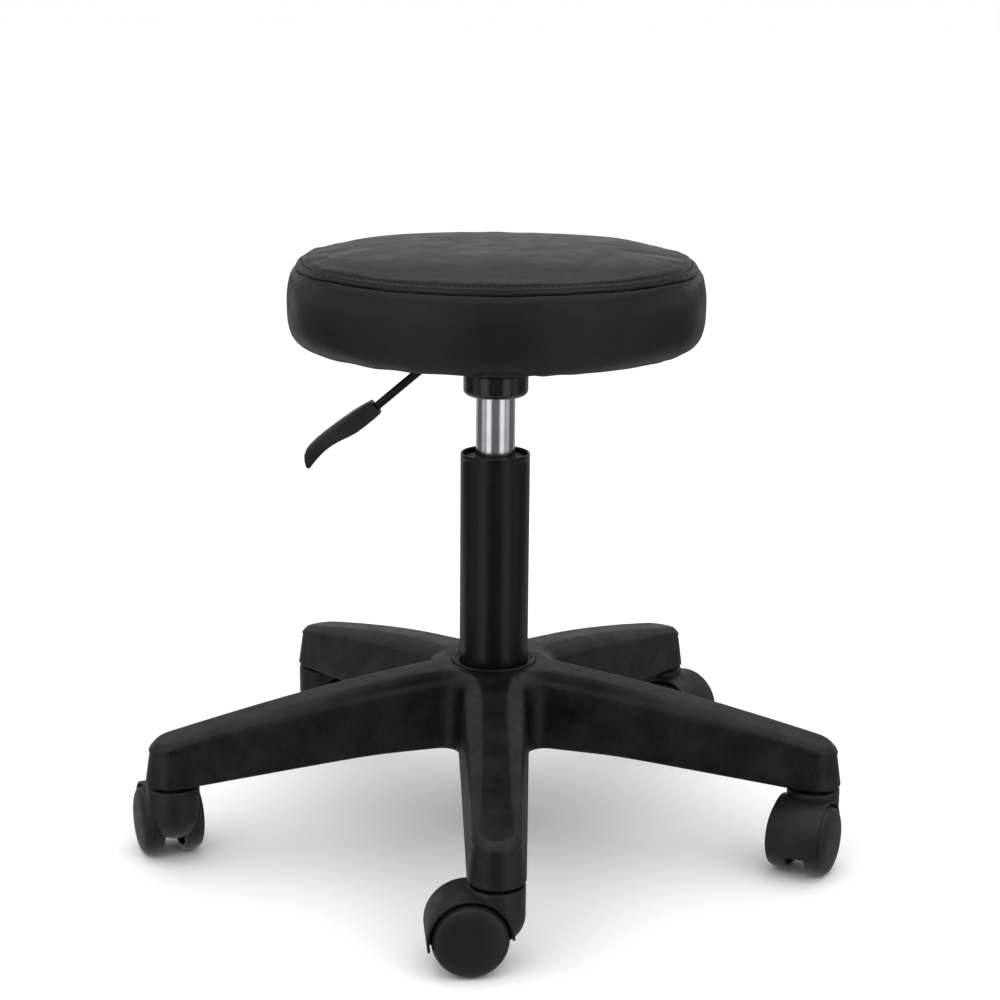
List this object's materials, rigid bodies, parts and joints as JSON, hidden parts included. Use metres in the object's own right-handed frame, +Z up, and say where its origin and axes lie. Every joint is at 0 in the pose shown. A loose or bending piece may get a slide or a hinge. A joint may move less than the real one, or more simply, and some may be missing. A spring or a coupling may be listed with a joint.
{
  "type": "adjustable swivel stool",
  "caption": "Backless swivel stool: round padded seat on a gas lift with a side release lever, five-arm moulded base, hooded twin-wheel casters.",
  "frame": {"origin": "middle of the footprint on the floor, with the seat at its lowest", "axes": "+Z up along the column; -Y towards the arm that points forward; -X is the side of the release lever"},
  "size_m": [0.5088, 0.485, 0.4316],
  "materials": {
    "black_vinyl": "satin black vinyl with a fine grain",
    "black_nylon": "matte moulded nylon with a fine texture",
    "handle_plastic": "satin moulded plastic",
    "gloss_black": "glossy black",
    "black_paint": "semi-gloss black powder coat",
    "chrome": "polished chrome",
    "steel": "bright turned steel",
    "zinc": "zinc plated",
    "rubber": "moulded rubber",
    "bush_plastic": "smooth acetal",
    "plywood": "bare plywood",
    "foam": "open-cell foam",
    "dust_cloth": "non-woven cloth"
  },
  "bodies": {
    "base": {"base_star": "black_nylon", "hub_ring": "black_paint", "column_tube": "black_paint", "guide_bush": "bush_plastic", "bearing_race": "steel"},
    "spindle": {"thrust_bearing": "steel", "rubber_bumper": "rubber", "piston_rod": "steel", "piston": "bush_plastic", "rod_clip": "steel"},
    "seat": {"gas_cylinder": "chrome", "rod_seal": "rubber", "seat_plate": "black_paint", "taper_cup": "gloss_black", "lever_bracket": "steel", "pivot_pin": "steel", "seat_board": "plywood", "dust_cover": "dust_cloth", "seat_foam": "foam", "cover_top": "black_vinyl", "cover_seam": "black_vinyl", "cover_band": "black_vinyl", "seat_bolt_1": "zinc", "seat_bolt_2": "zinc", "seat_bolt_3": "zinc", "seat_bolt_4": "zinc", "tee_nut_1": "zinc", "tee_nut_2": "zinc", "tee_nut_3": "zinc", "tee_nut_4": "zinc"},
    "button": {"release_button": "steel"},
    "lever": {"lever_rod": "black_paint", "lever_handle": "handle_plastic"},
    "caster_front": {"caster_front_hood": "black_nylon", "caster_front_stem": "steel", "caster_front_axle": "steel"},
    "caster_front_wheel_a": {"caster_front_wheel_a": "black_nylon"},
    "caster_front_wheel_b": {"caster_front_wheel_b": "black_nylon"},
    "caster_right": {"caster_right_hood": "black_nylon", "caster_right_stem": "steel", "caster_right_axle": "steel"},
    "caster_right_wheel_a": {"caster_right_wheel_a": "black_nylon"},
    "caster_right_wheel_b": {"caster_right_wheel_b": "black_nylon"},
    "caster_back_right": {"caster_back_right_hood": "black_nylon", "caster_back_right_stem": "steel", "caster_back_right_axle": "steel"},
    "caster_back_right_wheel_a": {"caster_back_right_wheel_a": "black_nylon"},
    "caster_back_right_wheel_b": {"caster_back_right_wheel_b": "black_nylon"},
    "caster_back_left": {"caster_back_left_hood": "black_nylon", "caster_back_left_stem": "steel", "caster_back_left_axle": "steel"},
    "caster_back_left_wheel_a": {"caster_back_left_wheel_a": "black_nylon"},
    "caster_back_left_wheel_b": {"caster_back_left_wheel_b": "black_nylon"},
    "caster_left": {"caster_left_hood": "black_nylon", "caster_left_stem": "steel", "caster_left_axle": "steel"},
    "caster_left_wheel_a": {"caster_left_wheel_a": "black_nylon"},
    "caster_left_wheel_b": {"caster_left_wheel_b": "black_nylon"}
  },
  "joints": [
    {"name": "seat_swivel", "type": "hinge", "parent": "base", "child": "spindle", "pos_m": [0.00528, 0.02098, 0.2], "axis": [0, 0, 1], "continuous": true},
    {"name": "seat_lift", "type": "slide", "parent": "spindle", "child": "seat", "axis": [0, 0, 1], "range_m": [0, 0.125]},
    {"name": "lever_lift", "type": "hinge", "parent": "seat", "child": "lever", "pos_m": [-0.01472, 0.02098, 0.351], "axis": [0, 1, 0], "range_deg": [0, 7]},
    {"name": "button_press", "type": "slide", "parent": "seat", "child": "button", "axis": [0, 0, -1], "range_m": [0, 0.0026]},
    {"name": "caster_front_swivel", "type": "hinge", "parent": "base", "child": "caster_front", "pos_m": [0.00903, -0.21789, 0.056], "axis": [0, 0, 1], "continuous": true},
    {"name": "caster_front_spin_a", "type": "hinge", "parent": "caster_front", "child": "caster_front_wheel_a", "pos_m": [-0.00839, -0.21957, 0.025], "axis": [0.0958, -0.9954, 0], "continuous": true},
    {"name": "caster_front_spin_b", "type": "hinge", "parent": "caster_front", "child": "caster_front_wheel_b", "pos_m": [-0.00839, -0.21957, 0.025], "axis": [0.0958, -0.9954, 0], "continuous": true},
    {"name": "caster_right_swivel", "type": "hinge", "parent": "base", "child": "caster_right", "pos_m": [0.23362, -0.04927, 0.056], "axis": [0, 0, 1], "continuous": true},
    {"name": "caster_right_spin_a", "type": "hinge", "parent": "caster_right", "child": "caster_right_wheel_a", "pos_m": [0.22567, -0.06486, 0.025], "axis": [0.891, -0.454, 0], "continuous": true},
    {"name": "caster_right_spin_b", "type": "hinge", "parent": "caster_right", "child": "caster_right_wheel_b", "pos_m": [0.22567, -0.06486, 0.025], "axis": [0.891, -0.454, 0], "continuous": true},
    {"name": "caster_back_right_swivel", "type": "hinge", "parent": "base", "child": "caster_back_right", "pos_m": [0.14265, 0.21644, 0.056], "axis": [0, 0, 1], "continuous": true},
    {"name": "caster_back_right_spin_a", "type": "hinge", "parent": "caster_back_right", "child": "caster_back_right_wheel_a", "pos_m": [0.15644, 0.20566, 0.025], "axis": [0.6157, 0.788, 0], "continuous": true},
    {"name": "caster_back_right_spin_b", "type": "hinge", "parent": "caster_back_right", "child": "caster_back_right_wheel_b", "pos_m": [0.15644, 0.20566, 0.025], "axis": [0.6157, 0.788, 0], "continuous": true},
    {"name": "caster_back_left_swivel", "type": "hinge", "parent": "base", "child": "caster_back_left", "pos_m": [-0.13816, 0.21202, 0.056], "axis": [0, 0, 1], "continuous": true},
    {"name": "caster_back_left_spin_a", "type": "hinge", "parent": "caster_back_left", "child": "caster_back_left_wheel_a", "pos_m": [-0.12143, 0.21714, 0.025], "axis": [-0.2924, 0.9563, 0], "continuous": true},
    {"name": "caster_back_left_spin_b", "type": "hinge", "parent": "caster_back_left", "child": "caster_back_left_wheel_b", "pos_m": [-0.12143, 0.21714, 0.025], "axis": [-0.2924, 0.9563, 0], "continuous": true},
    {"name": "caster_left_swivel", "type": "hinge", "parent": "base", "child": "caster_left", "pos_m": [-0.22074, -0.0564, 0.056], "axis": [0, 0, 1], "continuous": true},
    {"name": "caster_left_spin_a", "type": "hinge", "parent": "caster_left", "child": "caster_left_wheel_a", "pos_m": [-0.22729, -0.04018, 0.025], "axis": [-0.9272, -0.3746, 0], "continuous": true},
    {"name": "caster_left_spin_b", "type": "hinge", "parent": "caster_left", "child": "caster_left_wheel_b", "pos_m": [-0.22729, -0.04018, 0.025], "axis": [-0.9272, -0.3746, 0], "continuous": true}
  ],
  "couplings": [
    {"joint": "button_press", "follows": "lever_lift", "m_per_rad": 0.02128}
  ]
}
